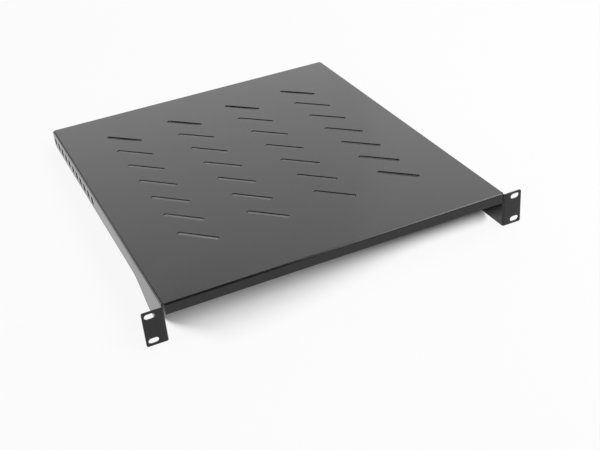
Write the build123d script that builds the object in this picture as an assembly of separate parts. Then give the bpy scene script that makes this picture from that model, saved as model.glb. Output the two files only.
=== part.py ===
from build123d import *
import os

# Shelf for a 19-inch rack, one unit high, folded from a single steel sheet.
# The plate is the top. Its long edges fold down into the side walls, which grow
# deeper towards the front and turn outwards there into the two ears. The front
# edge of the plate folds down into a lip and the rear edge into a flange.
#
# Millimetres. The origin is the centre of the four rack slots, on the rear face
# of the ears. +X points right as seen from the front, +Y back and +Z up.

# The sheet and its folds
SHEET = 1.5
FOLD_RADIUS = 1.0  # inside radius of every fold
CORNER_GAP = 1.5  # open gap between a lip's end and the side wall
RELIEF = 1.0  # how far a corner notch is cut back past the fold beside it

# The body, measured over the outside faces
BODY_WIDTH = 435.0
BODY_DEPTH = 500.0
LIP_DEPTH = 13.0
FLANGE_DEPTH = 13.0

# The side walls, seen from the side
WALL_DEPTH = 25.0
DEEP_LENGTH = 65.0  # from the ears' front face back to where the walls start to rise
RISE_LENGTH = 43.0  # from there to where the walls reach their shallow depth
RISE_RADIUS = 50.0  # hollow curve at the top of the rise
NOSE_RADIUS = 10.0  # round at the foot of the rise
WALL_REAR_RADIUS = 6.0

# The ears and their slots for the rack's screws
SLOT_FROM_WALL = 15.05  # wall's outer face to the slots' centres
SLOT_FROM_TIP = 8.75
SLOT_PITCH = 31.75
SLOT_FROM_EDGE = 6.125  # slots' centres to the ear's top and bottom edges
SLOT_LENGTH = 12.0
SLOT_WIDTH = 7.0
EAR_CORNER_RADIUS = 2.0

# Slanted vent slots in the plate
VENT_LENGTH = 55.0
VENT_WIDTH = 6.0
VENT_ANGLE = -45.0  # each runs from the back left to the front right
VENT_PITCH_X = 90.0
VENT_PITCH_Y = 50.0
VENT_FRONT_MARGIN = 111.0  # front face to the first row's centres
VENT_REAR_CLEAR = 70.0  # least distance from the last row's centres to the rear edge
VENT_SIDE_CLEAR = 75.0  # least distance from the outer columns' centres to the sides

# Square holes in the side walls for the rear support brackets
BRACKET_HOLE = 9.5
BRACKET_HOLE_PITCH = 20.0
BRACKET_HOLE_COUNT = 11
BRACKET_HOLE_FROM_REAR = 11.0
BRACKET_HOLE_DROP = 13.75  # plate's top face to the holes' centres

# Places that follow from the sizes above
fold_outside = FOLD_RADIUS + SHEET
ear_height = SLOT_PITCH + 2 * SLOT_FROM_EDGE
ear_top = ear_height / 2
ear_bottom = -ear_height / 2
plate_top = ear_top + fold_outside
plate_middle = plate_top - SHEET / 2
wall_bottom = plate_top - WALL_DEPTH
front = -SHEET
rear = front + BODY_DEPTH
side = BODY_WIDTH / 2
slot_x = side + SLOT_FROM_WALL
ear_tip = slot_x + SLOT_FROM_TIP
lip_end = side - SHEET - CORNER_GAP
fold_front = front + fold_outside + RELIEF
fold_rear = rear - fold_outside - RELIEF
through = BODY_WIDTH + BODY_DEPTH  # longer than any cut has to be


def folded_strip(points, width):
    """Sheet that follows a path through its middle, folded at each corner of it."""
    path = FilletPolyline(points, radius=FOLD_RADIUS + SHEET / 2)
    return extrude(trace(path, SHEET), width / 2, both=True)


def plate_with_side_folds():
    """The plate and the folds down its two long edges, between the corner notches."""
    wall_middle = side - SHEET / 2
    fold_end = ear_top - SHEET
    strip = folded_strip(
        [
            (-wall_middle, fold_end),
            (-wall_middle, plate_middle),
            (wall_middle, plate_middle),
            (wall_middle, fold_end),
        ],
        fold_rear - fold_front,
    )
    return Pos(Y=(fold_rear + fold_front) / 2) * (Plane.XZ * strip)


def plate_with_lip_and_flange():
    """The plate from end to end, with the front lip and the rear flange."""
    strip = folded_strip(
        [
            (front + SHEET / 2, plate_top - LIP_DEPTH),
            (front + SHEET / 2, plate_middle),
            (rear - SHEET / 2, plate_middle),
            (rear - SHEET / 2, plate_top - FLANGE_DEPTH),
        ],
        2 * lip_end,
    )
    return Plane.YZ * strip


def wall_outline():
    """Side view of the walls: deep at the front, then rising to the shallow depth."""
    ahead = front - SHEET
    rise_start = front + DEEP_LENGTH
    rise_end = rise_start + RISE_LENGTH
    corners = {
        (ahead, ear_bottom): 0,
        (rise_start, ear_bottom): NOSE_RADIUS,
        (rise_end, wall_bottom): RISE_RADIUS,
        (rear, wall_bottom): WALL_REAR_RADIUS,
        (rear, ear_top): 0,
        (ahead, ear_top): 0,
    }
    edge = FilletPolyline(list(corners), radius=list(corners.values()), close=True)
    return extrude(Plane.YZ * make_face(edge), through, both=True)


def wall_and_ear():
    """The right side wall and the ear that it turns into at the front."""
    strip = folded_strip(
        [
            (side - SHEET / 2, rear),
            (side - SHEET / 2, front + SHEET / 2),
            (ear_tip, front + SHEET / 2),
        ],
        ear_height,
    )
    tip_corners = strip.edges().filter_by(Axis.Y).sort_by(Axis.X)[-2:]
    return fillet(tip_corners, EAR_CORNER_RADIUS) & wall_outline()


def rack_slots():
    """The four slots in the ears."""
    slot = Plane.XZ * SlotOverall(SLOT_LENGTH, SLOT_WIDTH)
    places = [Pos(x, 0, z) for x in (-slot_x, slot_x) for z in (-SLOT_PITCH / 2, SLOT_PITCH / 2)]
    return [extrude(place * slot, 2 * SHEET, both=True) for place in places]


def vents():
    """Rows and columns of slanted slots, as many as the plate has room for."""
    rows = 1 + int((BODY_DEPTH - VENT_FRONT_MARGIN - VENT_REAR_CLEAR) // VENT_PITCH_Y)
    columns = 1 + int((BODY_WIDTH - 2 * VENT_SIDE_CLEAR) // VENT_PITCH_X)
    first_row = front + VENT_FRONT_MARGIN
    middle_row = first_row + (rows - 1) * VENT_PITCH_Y / 2
    grid = GridLocations(VENT_PITCH_X, VENT_PITCH_Y, columns, rows)
    slot = extrude(SlotOverall(VENT_LENGTH, VENT_WIDTH, rotation=VENT_ANGLE), 2 * SHEET, both=True)
    return [Pos(0, middle_row, plate_top) * place * slot for place in grid]


def bracket_holes():
    """A row of square holes near the rear of each wall, cut through both at once."""
    hole = extrude(Plane.YZ * Rectangle(BRACKET_HOLE, BRACKET_HOLE), through, both=True)
    last = rear - BRACKET_HOLE_FROM_REAR
    height = plate_top - BRACKET_HOLE_DROP
    return [
        Pos(0, last - number * BRACKET_HOLE_PITCH, height) * hole
        for number in range(BRACKET_HOLE_COUNT)
    ]


def shelf():
    """The whole shelf, one solid."""
    right = wall_and_ear()
    left = mirror(right, about=Plane.YZ)
    body = plate_with_side_folds() + plate_with_lip_and_flange() + right + left
    return body - rack_slots() - vents() - bracket_holes()


os.makedirs("parts", exist_ok=True)
export_step(shelf(), "parts/shelf.step")
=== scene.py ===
import math

import bmesh
import bpy
from mathutils import Matrix, Vector


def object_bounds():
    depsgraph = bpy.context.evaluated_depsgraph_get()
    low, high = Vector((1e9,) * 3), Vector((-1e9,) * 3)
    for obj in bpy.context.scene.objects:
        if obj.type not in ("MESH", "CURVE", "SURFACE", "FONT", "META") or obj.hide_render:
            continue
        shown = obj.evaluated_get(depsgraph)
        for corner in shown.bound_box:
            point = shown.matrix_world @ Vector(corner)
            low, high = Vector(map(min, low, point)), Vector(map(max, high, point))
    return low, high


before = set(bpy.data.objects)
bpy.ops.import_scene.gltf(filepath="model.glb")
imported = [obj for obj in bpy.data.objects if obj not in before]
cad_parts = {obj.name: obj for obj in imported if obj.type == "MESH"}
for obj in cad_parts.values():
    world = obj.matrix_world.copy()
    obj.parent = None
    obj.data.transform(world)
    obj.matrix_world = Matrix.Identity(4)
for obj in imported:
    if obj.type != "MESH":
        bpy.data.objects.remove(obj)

cad_low, cad_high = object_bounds()

# A rack shelf folded from one black sheet. It stands on a pale floor on the deep front
# ends of its side walls and on the walls' rear ends, so the floor leans a little.

REST_FRONT = (0.062, -0.0220)  # back and up, where the walls touch the floor in front
REST_REAR = (0.492, -0.0005)  # and at the rear

CAMERA_PLACE = (-0.40627, -0.85656, 0.63733)
CAMERA_RIGHT = (0.90113, -0.42637, -0.07856)
CAMERA_DOWN = (-0.28479, -0.44552, -0.84877)
CAMERA_FORWARD = (0.32689, 0.78722, -0.52290)
CAMERA_LENS = 59.884  # millimetres on a 36 mm sensor


def link(thing):
    """Adds an object to the scene."""
    bpy.context.scene.collection.objects.link(thing)
    return thing


# Camera
def place_camera():
    """The photograph's own view."""
    camera = link(bpy.data.objects.new("camera", bpy.data.cameras.new("camera")))
    columns = [Vector(CAMERA_RIGHT), -Vector(CAMERA_DOWN), -Vector(CAMERA_FORWARD)]
    turn = Matrix(columns).transposed().to_4x4()
    camera.matrix_world = Matrix.Translation(CAMERA_PLACE) @ turn
    camera.data.lens = CAMERA_LENS
    camera.data.sensor_width = 36.0
    camera.data.clip_start = 0.01
    camera.data.clip_end = 50.0
    bpy.context.scene.camera = camera


place_camera()


# Material tools
def new_material(name):
    """An empty node material."""
    material = bpy.data.materials.new(name)
    material.use_nodes = True
    material.node_tree.nodes.clear()
    return material


def add_node(tree, kind, **settings):
    """A node with its settings."""
    node = tree.nodes.new(kind)
    for key, value in settings.items():
        setattr(node, key, value)
    return node


def math_node(tree, operation, first, second=None):
    """A Math node on one or two values, each a number or another node's output."""
    node = add_node(tree, "ShaderNodeMath", operation=operation)
    for place, value in enumerate((first, second)):
        if isinstance(value, (int, float)):
            node.inputs[place].default_value = value
        elif value is not None:
            tree.links.new(value, node.inputs[place])
    return node.outputs["Value"]


def spread(tree, value, start, end, low, high):
    """Turns a value that runs from start to end into one that runs smoothly from low to high."""
    node = add_node(tree, "ShaderNodeMapRange", interpolation_type="SMOOTHSTEP")
    tree.links.new(value, node.inputs["Value"])
    for name, number in (("From Min", start), ("From Max", end), ("To Min", low), ("To Max", high)):
        node.inputs[name].default_value = number
    return node.outputs["Result"]


# The black powder coat
COAT_DARK = (0.0060, 0.0060, 0.0064, 1.0)
COAT_LIGHT = (0.0082, 0.0082, 0.0086, 1.0)
COAT_RUBBED = (0.030, 0.030, 0.031, 1.0)
COAT_GLOSS = (0.13, 0.19)  # roughness of the glossiest and the dullest patches
COAT_IOR = 1.45
CLOUD_SIZE = 0.070  # broad patches of slightly different tone
CLOUD_SHARE = 0.6
MOTTLE_SIZE = 0.006  # small spots among them
UNEVEN_RANGE = (0.38, 0.62)  # the part of the mixed noise that goes from dark to light
PEEL_SIZE = 0.0018  # waves of the orange peel
GRAIN_SIZE = 0.0004  # fine grain on top of them
GRAIN_SHARE = 0.25  # its height against the peel's
PEEL_HEIGHT = 0.0002
PEEL_STRENGTH = 0.25
EDGE_WIDTH = 0.0005
EDGE_MATCH = (0.98, 0.80)  # rounded normal against the plain one, where an edge starts and is full
RUB_SIZE = 0.005  # spots where an edge is rubbed
RUB_RANGE = (0.45, 0.65)
RUB_LEAST = 0.15  # rubbing between the spots
RUB_DULLS = 0.12  # roughness that it adds


def noise(tree, place, size, detail, rough=0.5):
    """Even noise with spots about as wide as size, in metres."""
    node = add_node(tree, "ShaderNodeTexNoise")
    node.inputs["Scale"].default_value = 1.0 / size
    node.inputs["Detail"].default_value = detail
    node.inputs["Roughness"].default_value = rough
    tree.links.new(place, node.inputs["Vector"])
    return node.outputs["Fac"]


def blend(tree, share, first, second):
    """Mixes two colours, each a constant or another node's output."""
    node = add_node(tree, "ShaderNodeMix", data_type="RGBA")
    tree.links.new(share, node.inputs["Factor"])
    for place, colour in ((6, first), (7, second)):
        if isinstance(colour, tuple):
            node.inputs[place].default_value = colour
        else:
            tree.links.new(colour, node.inputs[place])
    return node.outputs[2]


def sheet_edges(tree):
    """A normal that rounds sharp edges a little, and a mask that is 1 on them."""
    rounded = add_node(tree, "ShaderNodeBevel", samples=4)
    rounded.inputs["Radius"].default_value = EDGE_WIDTH
    plain = add_node(tree, "ShaderNodeNewGeometry")
    match = add_node(tree, "ShaderNodeVectorMath", operation="DOT_PRODUCT")
    tree.links.new(rounded.outputs["Normal"], match.inputs[0])
    tree.links.new(plain.outputs["Normal"], match.inputs[1])
    return rounded.outputs["Normal"], spread(tree, match.outputs["Value"], *EDGE_MATCH, 0.0, 1.0)


def black_coat():
    """Satin black powder coat: orange peel, fine grain, a slightly uneven tone and gloss,
    and sheet edges where it lies thin and is rubbed a little brighter."""
    material = new_material("black_coat")
    tree = material.node_tree
    place = add_node(tree, "ShaderNodeTexCoord").outputs["Object"]
    cloud = math_node(tree, "MULTIPLY", noise(tree, place, CLOUD_SIZE, 3.0), CLOUD_SHARE)
    mottle = math_node(tree, "MULTIPLY", noise(tree, place, MOTTLE_SIZE, 3.0), 1.0 - CLOUD_SHARE)
    uneven = spread(tree, math_node(tree, "ADD", cloud, mottle), *UNEVEN_RANGE, 0.0, 1.0)
    peel = noise(tree, place, PEEL_SIZE, 1.0)
    grain = math_node(tree, "MULTIPLY", noise(tree, place, GRAIN_SIZE, 1.0), GRAIN_SHARE)
    height = math_node(tree, "ADD", peel, grain)
    normal, edge = sheet_edges(tree)
    patches = spread(tree, noise(tree, place, RUB_SIZE, 4.0, 0.7), *RUB_RANGE, RUB_LEAST, 1.0)
    rubbed = math_node(tree, "MULTIPLY", patches, edge)

    colour = blend(tree, rubbed, blend(tree, uneven, COAT_DARK, COAT_LIGHT), COAT_RUBBED)
    gloss = spread(tree, uneven, 0.0, 1.0, *COAT_GLOSS)
    gloss = math_node(tree, "ADD", gloss, math_node(tree, "MULTIPLY", rubbed, RUB_DULLS))

    bump = add_node(tree, "ShaderNodeBump")
    bump.inputs["Strength"].default_value = PEEL_STRENGTH
    bump.inputs["Distance"].default_value = PEEL_HEIGHT
    tree.links.new(height, bump.inputs["Height"])
    tree.links.new(normal, bump.inputs["Normal"])
    shader = add_node(tree, "ShaderNodeBsdfPrincipled")
    shader.inputs["IOR"].default_value = COAT_IOR
    tree.links.new(colour, shader.inputs["Base Color"])
    tree.links.new(gloss, shader.inputs["Roughness"])
    tree.links.new(bump.outputs["Normal"], shader.inputs["Normal"])
    output = add_node(tree, "ShaderNodeOutputMaterial")
    tree.links.new(shader.outputs["BSDF"], output.inputs["Surface"])
    return material


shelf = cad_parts["shelf"]
coat = black_coat()
for slot in shelf.material_slots:
    slot.material = coat


# Floor
FLOOR_RADIUS = 2.4
FLOOR_MIDDLE = 0.25  # how far back its centre lies
FLOOR_CLEAR = 0.0002  # keeps it from cutting into the shelf
FLOOR_COLOUR = (0.70, 0.70, 0.70, 1.0)
FLOOR_ROUGHNESS = 0.8
FLOOR_SPECULAR = 0.1
FLOOR_WHITENING = 0.92  # share of plain white on the open floor

# Painted shade: the area round the shelf where the floor's whitening is held back, shaped by place,
# so that the lamp-lit floor and its real shadow show there
PAINTED_SHADE_MIDDLE = 0.005
PAINTED_SHADE_HALF = 0.214  # half its width
PAINTED_SHADE_NARROWS = (-0.02, 0.045)  # between these two places its sides go from soft to sharp
PAINTED_SHADE_BESIDE = (0.060, 0.002)  # how soft they are in front and further back
PAINTED_SHADE_BEHIND = 0.01
PAINTED_SHADE_TURN = (-0.15, 0.14)  # between these two the left half turns into the right half
PAINTED_SHADE_START = (0.078, 0.050)  # left and right, where it starts to fade towards the front
PAINTED_SHADE_AHEAD = (0.125, 0.038)  # left and right, over what distance

# Painted light: white laid on the floor under the shelf by place, seen through the vents
PAINTED_GLOW_UNDER = 0.19
PAINTED_GLOW_FRONT = (0.07, 0.14)  # between these two it comes up
PAINTED_GLOW_REAR = (0.42, 0.47)  # and between these it ends
PAINTED_GLOW_SLANT = 0.85
PAINTED_GLOW_CORNER = (-0.25, 0.12)  # it fades on a slant towards the right front corner
PAINTED_GLOW_LEAST = 0.15  # what is left of it there


def pale_floor():
    """A round pale table top that the shelf stands on."""
    slope = (REST_REAR[1] - REST_FRONT[1]) / (REST_REAR[0] - REST_FRONT[0])
    lean = math.atan(slope)
    height = REST_FRONT[1] + slope * (FLOOR_MIDDLE - REST_FRONT[0]) - FLOOR_CLEAR
    middle = Vector((0.0, FLOOR_MIDDLE, height))
    mesh = bpy.data.meshes.new("floor")
    shape = bmesh.new()
    bmesh.ops.create_circle(shape, cap_ends=True, segments=96, radius=FLOOR_RADIUS)
    bmesh.ops.rotate(shape, verts=shape.verts, matrix=Matrix.Rotation(lean, 3, "X"))
    bmesh.ops.translate(shape, verts=shape.verts, vec=middle)
    shape.to_mesh(mesh)
    shape.free()
    floor = link(bpy.data.objects.new("floor", mesh))
    mesh.materials.append(pale_surface())


def painted_shade_and_glow(tree):
    """The floor's whitening share: 1 on the open floor, held back in a painted shade ahead of the
    lip and under the shelf, where the lamp-lit floor and its real shadow show, with a little
    painted light under the shelf that shows through the vents."""
    place = add_node(tree, "ShaderNodeTexCoord")
    parts = add_node(tree, "ShaderNodeSeparateXYZ")
    tree.links.new(place.outputs["Object"], parts.inputs["Vector"])
    x, y = parts.outputs["X"], parts.outputs["Y"]
    # painted shade: an area round the shelf, shaped and softened by place, where the whitening is
    # held back
    across = math_node(tree, "ABSOLUTE", math_node(tree, "SUBTRACT", x, PAINTED_SHADE_MIDDLE))
    reach_beside = spread(tree, y, *PAINTED_SHADE_NARROWS, *PAINTED_SHADE_BESIDE)
    beside = math_node(tree, "ADD", math_node(tree, "SUBTRACT", across, PAINTED_SHADE_HALF), reach_beside)
    behind = math_node(tree, "SUBTRACT", y, cad_high.y)
    ahead = math_node(tree, "SUBTRACT", spread(tree, x, *PAINTED_SHADE_TURN, *PAINTED_SHADE_START), y)
    reach_ahead = spread(tree, x, *PAINTED_SHADE_TURN, *PAINTED_SHADE_AHEAD)
    total = 0.0  # squared distance from the painted shade's area, in units of its own softness
    for gap, reach in ((beside, reach_beside), (behind, PAINTED_SHADE_BEHIND), (ahead, reach_ahead)):
        part = math_node(tree, "DIVIDE", math_node(tree, "MAXIMUM", gap, 0.0), reach)
        total = math_node(tree, "ADD", math_node(tree, "POWER", part, 2.0), total)
    outside = spread(tree, math_node(tree, "SQRT", total), 0.0, 1.0, 0.0, 1.0)

    # painted light: a share of white under the shelf, as if light came in through the vents
    painted_glow = spread(tree, y, *PAINTED_GLOW_REAR, PAINTED_GLOW_UNDER, 0.0)
    painted_glow = math_node(tree, "MULTIPLY", painted_glow, spread(tree, y, *PAINTED_GLOW_FRONT, 0.0, 1.0))
    toward_corner = math_node(tree, "SUBTRACT", x, math_node(tree, "MULTIPLY", y, PAINTED_GLOW_SLANT))
    corner = spread(tree, toward_corner, *PAINTED_GLOW_CORNER, 1.0, PAINTED_GLOW_LEAST)
    painted_glow = math_node(tree, "MULTIPLY", painted_glow, corner)
    return math_node(tree, "MAXIMUM", outside, painted_glow)


def seen_directly(tree):
    """1 for the camera and for what it sees in a gloss or through something clear, else 0."""
    ray = add_node(tree, "ShaderNodeLightPath")
    seen = math_node(tree, "MAXIMUM", ray.outputs["Is Camera Ray"], ray.outputs["Is Glossy Ray"])
    return math_node(tree, "MAXIMUM", seen, ray.outputs["Is Transmission Ray"])


def pale_surface():
    """Matt and pale, and seen as white away from the shelf. Near the shelf the whitening is held
    back in a painted shape, so the lamp-lit floor shows there with its real shadow, and a painted
    glow lies under the shelf.
    """
    material = new_material("pale_surface")
    tree = material.node_tree
    shader = add_node(tree, "ShaderNodeBsdfPrincipled")
    shader.inputs["Base Color"].default_value = FLOOR_COLOUR
    shader.inputs["Roughness"].default_value = FLOOR_ROUGHNESS
    shader.inputs["Specular IOR Level"].default_value = FLOOR_SPECULAR
    white = add_node(tree, "ShaderNodeEmission")
    white.inputs["Strength"].default_value = 1.0
    share = math_node(tree, "MULTIPLY", painted_shade_and_glow(tree), FLOOR_WHITENING)
    mix = add_node(tree, "ShaderNodeMixShader")
    tree.links.new(math_node(tree, "MULTIPLY", seen_directly(tree), share), mix.inputs["Fac"])
    tree.links.new(shader.outputs["BSDF"], mix.inputs[1])
    tree.links.new(white.outputs["Emission"], mix.inputs[2])
    output = add_node(tree, "ShaderNodeOutputMaterial")
    tree.links.new(mix.outputs["Shader"], output.inputs["Surface"])
    return material


pale_floor()


# Light
WALL_TOP = (0.24, 0.34)  # upward part of the direction, between which the white walls end
WALL_LIGHT = 0.975  # white, as pale as the floor
CEILING_LIGHT = 0.08

# Name, place, the point it is aimed at, width, height and how bright its face looks
SOFTBOXES = (
    ("softbox_back", (0.95, 2.60, 1.30), (0.00, 0.30, 0.00), 2.60, 1.60, 1.45),
    ("softbox_above", (1.00, 0.35, 1.45), (0.10, 0.20, 0.00), 1.20, 1.00, 4.30),
    ("softbox_front", (0.93, -0.78, 1.10), (0.05, 0.00, 0.00), 0.85, 0.80, 7.50),
    ("softbox_left", (-1.30, 1.70, 0.60), (-0.20, 0.40, 0.00), 1.00, 0.80, 2.00),
    ("softbox_right", (1.79, 1.64, 1.32), (0.20, 0.05, 0.00), 1.70, 1.00, 0.24),
)


def studio_room():
    """A room with white walls all round under a dark ceiling, the same for every ray."""
    world = bpy.data.worlds.new("studio")
    bpy.context.scene.world = world
    world.use_nodes = True
    tree = world.node_tree
    tree.nodes.clear()
    place = add_node(tree, "ShaderNodeTexCoord")
    parts = add_node(tree, "ShaderNodeSeparateXYZ")
    tree.links.new(place.outputs["Generated"], parts.inputs["Vector"])
    light = spread(tree, parts.outputs["Z"], *WALL_TOP, WALL_LIGHT, CEILING_LIGHT)
    room = add_node(tree, "ShaderNodeBackground")
    room.inputs["Color"].default_value = (1.0, 1.0, 1.0, 1.0)
    tree.links.new(light, room.inputs["Strength"])
    output = add_node(tree, "ShaderNodeOutputWorld")
    tree.links.new(room.outputs["Background"], output.inputs["Surface"])


def softbox(name, place, target, width, height, level):
    """A rectangular soft lamp aimed at a point."""
    data = bpy.data.lights.new(name, "AREA")
    data.shape = "RECTANGLE"
    data.size = width
    data.size_y = height
    data.energy = level * math.pi * width * height
    lamp = link(bpy.data.objects.new(name, data))
    aim = (Vector(target) - Vector(place)).to_track_quat("-Z", "Y")
    lamp.matrix_world = Matrix.Translation(place) @ aim.to_matrix().to_4x4()


studio_room()
for lamp in SOFTBOXES:
    softbox(*lamp)

bpy.context.scene.view_settings.view_transform = "Standard"
